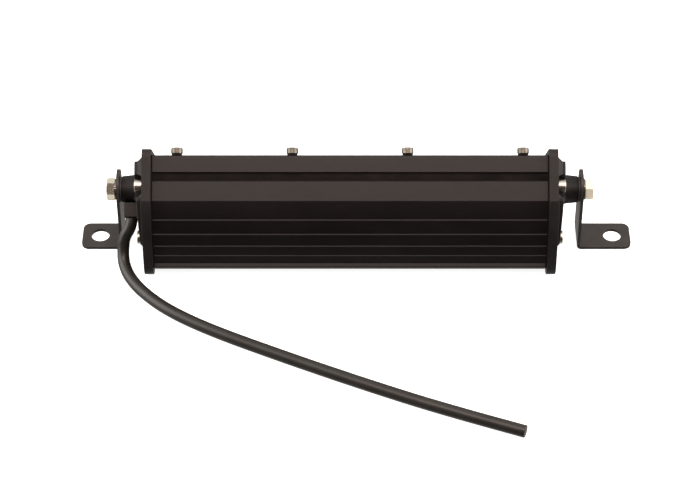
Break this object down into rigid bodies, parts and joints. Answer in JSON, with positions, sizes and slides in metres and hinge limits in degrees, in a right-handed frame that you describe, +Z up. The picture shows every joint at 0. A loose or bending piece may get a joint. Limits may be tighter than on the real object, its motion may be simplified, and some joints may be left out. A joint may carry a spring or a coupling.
{
  "type": "led light bar",
  "caption": "Rectangular LED light bar with a finned extruded housing, cast end caps, tilting foot brackets and a bare-ended power cord.",
  "frame": {"origin": "midway between the two foot holes, on the plane that the feet stand on", "axes": "+X along the bar towards the end without the cable outlet, +Y towards the lens side, +Z up out of the mounting plane"},
  "size_m": [0.3672, 0.2252, 0.0808],
  "materials": {
    "black_aluminium": "satin black anodised",
    "cast_black": "satin black powder coat",
    "bracket_steel": "satin black powder coat",
    "stainless": "bright stainless",
    "zinc": "warm zinc plate",
    "spring_steel": "dark spring steel",
    "clear_lens": "clear gloss",
    "seal_rubber": "matte",
    "bright_reflector": "vacuum metallised",
    "board_white": "white solder mask",
    "board_green": "green solder mask",
    "led_yellow": "phosphor",
    "pad_grey": "soft silicone",
    "part_black": "moulded",
    "can_blue": "sleeved can",
    "copper_winding": "enamelled wire",
    "lead_sleeve": "insulation",
    "cord_black": "soft matte black"
  },
  "bodies": {
    "left_bracket": {"left_bracket": "bracket_steel", "power_cord": "cord_black"},
    "housing": {"heat_sink_body": "black_aluminium", "front_frame": "black_aluminium", "front_lens": "clear_lens", "lens_seal": "seal_rubber", "frame_gaskets": "seal_rubber", "reflector": "bright_reflector", "led_board": "board_white", "led_chips": "led_yellow", "thermal_pad": "pad_grey", "board_screws": "stainless", "driver_pad": "pad_grey", "driver_board": "board_green", "driver_capacitors": "can_blue", "driver_inductor": "copper_winding", "driver_chips": "part_black", "led_leads": "lead_sleeve", "supply_leads": "lead_sleeve", "left_end_cap": "cast_black", "right_end_cap": "cast_black", "cable_outlet": "seal_rubber", "frame_screws": "stainless", "frame_screw_seals": "seal_rubber", "left_cap_gasket": "seal_rubber", "right_cap_gasket": "seal_rubber", "left_cap_screws": "stainless", "right_cap_screws": "stainless", "left_pivot_bolt": "zinc", "right_pivot_bolt": "zinc", "left_lock_washer": "spring_steel", "right_lock_washer": "spring_steel", "left_friction_washer": "part_black", "right_friction_washer": "part_black"},
    "right_bracket": {"right_bracket": "bracket_steel"}
  },
  "joints": [
    {"name": "tilt", "type": "hinge", "parent": "left_bracket", "child": "housing", "pos_m": [-0.0042, 0, 0.0425], "axis": [1, 0, 0], "range_deg": [-90, 0], "deforming": ["power_cord"]},
    {"name": "right_bracket_pivot", "type": "hinge", "parent": "housing", "child": "right_bracket", "pos_m": [-0.0042, 0, 0.0425], "axis": [1, 0, 0], "range_deg": [0, 90]}
  ],
  "couplings": [
    {"joint": "right_bracket_pivot", "follows": "tilt", "ratio": -1}
  ]
}
